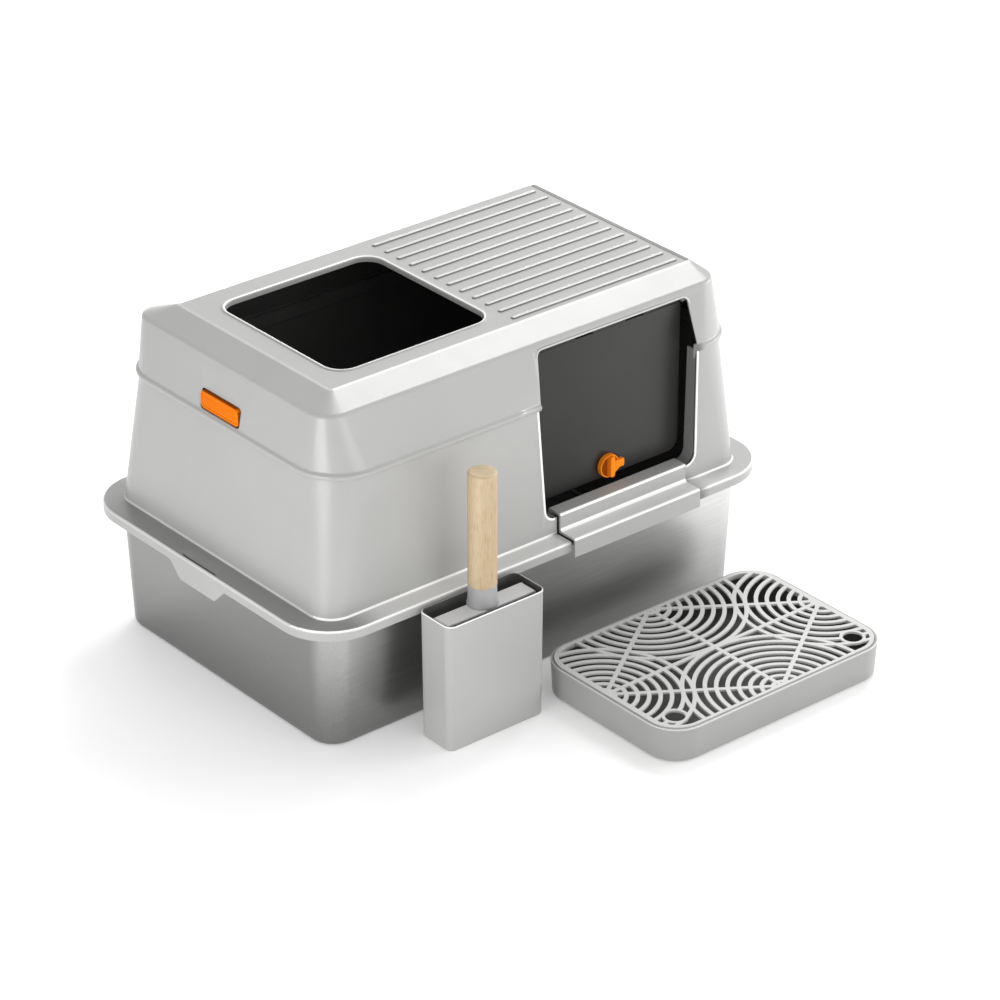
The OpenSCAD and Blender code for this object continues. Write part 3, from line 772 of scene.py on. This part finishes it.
for sign, side in ((-1, "left"), (1, "right")):
    body = f"latch_button_{side}"
    rings = []
    for level in soften(button_levels, False):
        rings.append([to_side(p, p[2], sign) for p in loop(*level, n=6, mx=4, my=2)])
    o = make(f"latch_button_{side}", skin(rings, caps=(True, True)), [ORANGE, AMBER, ORANGE_SHADE])
    mark(o, in_groove, 1)
    # Painted shade around the outer sides of the button.
    mark(o, on_side, 2)
    put(weighted(o), body, "orange_plastic", f"latch_{side}")
    lug = rounded([(-16, 298.4), (16, 298.4), (16, 303), (-16, 303)], [2, 2, 0, 0], 4)
    o = make(f"latch_lug_{side}", prism(lug, sign * 256.0, sign * 258.2, "x"), ORANGE)
    put(bevelled(o, 0.4, 2), body, "orange_plastic")

    coils = [coil(sign, y) for y in (-20, 20)]
    bpy.context.view_layer.update()
    dg = bpy.context.evaluated_depsgraph_get()
    bm = bmesh.new()
    for c in coils:
        bm.from_mesh(bpy.data.meshes.new_from_object(c.evaluated_get(dg)))
        bpy.data.objects.remove(c)
    bmesh.ops.scale(bm, vec=(1 / MM,) * 3, verts=bm.verts)
    put(make(f"latch_coils_{side}", bm, PIN), "hood", "pin_steel", f"latch_spring_{side}")

# small CAD nodes that keep their shape
for n in ("hinge_clip_left", "hinge_clip_right"):
    bevelled(paint(n, GREY), 0.35, 2)
for n in ("latch_cup_left", "latch_cup_right", "knob_washer"):
    bevelled(paint(n, DARK), 0.35, 2)
for n in ("hinge_pin", "knob_spindle"):
    bevelled(paint(n, PIN), 0.3, 2)

# ---------------------------------------------------------------- scoop and holder

hold_x, hold_y = HOLD
top, grip, rest = 285.0, 160.6, 139.0  # top of the handle, its lower end, and the socket's foot
prof = [
    (0, grip), (14.1, grip), (14.7, grip + 0.6), (14.7, top - 3.0), (14.5, top - 1.6),
    (13.9, top - 0.6), (12.8, top - 0.1), (11.5, top), (0, top),
]
o = make("scoop_grip", lathe(prof, 64), WOOD)
o.matrix_world = at(hold_x, hold_y, 0)
put(weighted(o), "scoop", "handle_wood", "scoop_handle")
prof = [
    (0, rest + 0.1), (16.1, rest + 0.1), (16.2, rest + 0.5), (15.9, rest + 1.6), (15.4, rest + 3.5),
    (15.0, rest + 6), (14.7, rest + 9), (14.35, grip - 0.7), (13.9, grip - 0.1), (0, grip - 0.1),
]
o = make("scoop_socket", lathe(prof, 64), SOCKET)
o.matrix_world = at(hold_x, hold_y, 0)
put(weighted(o), "scoop", "scoop_grey", "scoop_ferrule")
half = 57.0  # half the width of the pan
SLOT_PITCH = 9.4
plate = [(-half, rest - 1), (half, rest - 1), (half, 2.5), (-half, 2.5)]
plate = [(hold_x + x, z) for x, z in rounded(plate, [0, 0, 14, 14], 8)]
blade = make("scoop_floor", prism(plate, hold_y + 5.6, hold_y + 8.0), SCOOP)
holes = []
for i in range(-5, 6):
    x = hold_x + i * SLOT_PITCH
    pts = [(p[0] + x, p[1] + 73) for p in loop(2.5, 51.5, 2.45, 0, n=6, mx=1, my=1)]
    holes.append(make("cutter", prism(pts, hold_y, hold_y + 12)))
cut(blade, holes)
put(bevelled(blade, 0.45, 2, 50), "scoop", "scoop_grey", "scoop_blade")
arch = [
    (-half, 18), (-half, rest), (half, rest), (half, 18),
    (half - 2.4, 18), (half - 2.4, rest - 3), (-half + 2.4, rest - 3), (-half + 2.4, 18),
]
arch = [(hold_x + x, z) for x, z in rounded(arch, [0, 3, 3, 0, 0, 1.5, 1.5, 0], 5)]
walls = make("scoop_walls", prism(arch, hold_y - 14.6, hold_y + 7.0), SCOOP)
slope = [(5.7, 17), (5.7, 20), (-14.7, 60), (-20, 60), (-20, 17)]
slope = [(hold_y + y, z) for y, z in slope]
cut(walls, [make("cutter", prism(slope, hold_x - 70, hold_x + 70, "x"))])
put(bevelled(walls, 0.6, 3, 40), "scoop", "scoop_grey")



def vessel(name, levels, centre, steps, inner, mats):
    """Open vessel, lofted from under its floor, over the rim and back down to the inside of its floor.

    Level 2 is the outer edge of the rim, whose fillet has the last of the three materials, a painted
    highlight; the inside has the second, painted shade.
    """
    rings = []
    for level in soften(levels, False):
        rings.append([(p[0] + centre[0], p[1] + centre[1], p[2]) for p in loop(*level, *steps)])
    slots = index_of_bands(levels, False, inner, (2,))[:-1]
    return make(name, skin(rings, caps=(True, True), slots=slots), mats)


holder_levels = [
    (40, 10, 4, 0, 0, 0, 0),
    (60.8, 23.5, 8, 0, 0, 0, 2.0),
    (62, 24.7, 9, 142, 0, 0, 0.9),
    (60, 22.7, 7, 142, 0, 0, 0.9),
    (58.8, 21.5, 6, 2.4, 0, 0, 3.0),
    (40, 10, 4, 2.4, 0, 0, 0),
]
# Painted shade inside the cup and a painted highlight on its rim.
o = vessel("holder_cup", holder_levels, HOLD, (8, 4, 3), (3, 5), [GREY, INNER_SHADE, BRIGHT_HIGHLIGHT])
put(weighted(o), "holder", "body_plastic", "scoop_holder")

# ---------------------------------------------------------------- foot mat

basin_levels = [
    (100, 60, 10, 1.5, 0, 0, 0),
    (147.6, 101.1, 33, 1.5, 0, 0, 2.4),
    (150, 103.5, 36.5, 38.6, 0, 0, 1.1),
    (146.8, 100.3, 33.4, 38.6, 0, 0, 0.6),
    (146.8, 100.3, 33.4, 34.1, 0, 0, 0.4),
    (143.6, 97.1, 30, 34.1, 0, 0, 0.5),
    (142, 95.5, 28, 4, 0, 0, 4.0),
    (100, 60, 10, 4, 0, 0, 0),
]
# Painted shade inside the basin and a painted highlight on its rim.
o = vessel("mat_basin", basin_levels, MAT, (12, 8, 6), (4, 7), [MAT_GREY, INNER_SHADE, EDGE_HIGHLIGHT])
put(weighted(o), "mat", "body_plastic", "step_tray")
bevelled(paint("step_grate", WHITE), 0.4, 2, 50)
bevelled(paint("step_feet", RUBBER), 0.3, 2)

# ---------------------------------------------------------------- floor, light and camera

WHITE_LIGHT = (1, 1, 1, 1)
floor_mat, ft, fs = material(
    "floor", Roughness=0.65, Specular_IOR_Level=0.2, Emission_Color=WHITE_LIGHT, Emission_Strength=0.18
)
ft.links.new(mix(ft, noise(ft, 3, 2), (0.885,) * 3, (0.895,) * 3), fs.inputs["Base Color"])
bm = bmesh.new()
bmesh.ops.create_grid(bm, x_segments=1, y_segments=1, size=12000)
floor = make("floor", bm, floor_mat)

world = bpy.data.worlds.new("studio")
bpy.context.scene.world = world
world.use_nodes = True
background = world.node_tree.nodes["Background"]
background.inputs["Color"].default_value = WHITE_LIGHT
background.inputs["Strength"].default_value = 0.80


def area(name, direction, distance, size, power, aim=(0, 0, 0.2), spread=180):
    """Softbox in a direction from aim, turned to it. Metres, watts and degrees."""
    d = bpy.data.lights.new(name, "AREA")
    d.shape = "RECTANGLE"
    d.size, d.size_y = size
    d.energy = power
    d.spread = math.radians(spread)
    o = bpy.data.objects.new(name, d)
    bpy.context.scene.collection.objects.link(o)
    o.visible_camera = False
    way = Vector(direction).normalized()
    o.location = Vector(aim) + way * distance
    o.rotation_euler = (-way).to_track_quat("-Z", "Y").to_euler()


area("top_back", (0.563, 0.302, 0.769), 4.0, (1.6, 1.6), 76)
area("right", (0.85, -0.35, 0.18), 4.0, (2.4, 1.6), 78)
area("front", (0.1, -0.85, 0.10), 4.5, (2.4, 1.2), 34)
area("left", (-0.95, -0.3, 0.0), 4.0, (2.0, 1.2), 26)
area("left_near", (-0.93, -0.36, -0.06), 0.85, (0.5, 0.3), 0.95, (-0.25, -0.08, 0.22), 110)
area("sweep", (0.563, 0.78, 0.42), 5.0, (3.0, 1.6), 12)
area("rim", (0.563, 0.827, 0.06), 4.0, (2.2, 0.5), 26)

cam = bpy.data.cameras.new("camera")
cam_o = bpy.data.objects.new("camera", cam)
bpy.context.scene.collection.objects.link(cam_o)
azimuth, elevation = math.radians(-39.70), math.radians(28.22)
distance = 4.28537
target = Vector((0.09293, 0, 0.08625))
flat = math.cos(elevation)
back = Vector((math.sin(azimuth) * flat, -math.cos(azimuth) * flat, math.sin(elevation)))
cam_o.location = target + back * distance
cam_o.rotation_euler = (-back).to_track_quat("-Z", "Y").to_euler()
cam.sensor_width, cam.lens = 36, 146.1
cam.clip_start, cam.clip_end = 0.1, 100
bpy.context.scene.camera = cam_o
bpy.context.scene.view_settings.view_transform = "Standard"
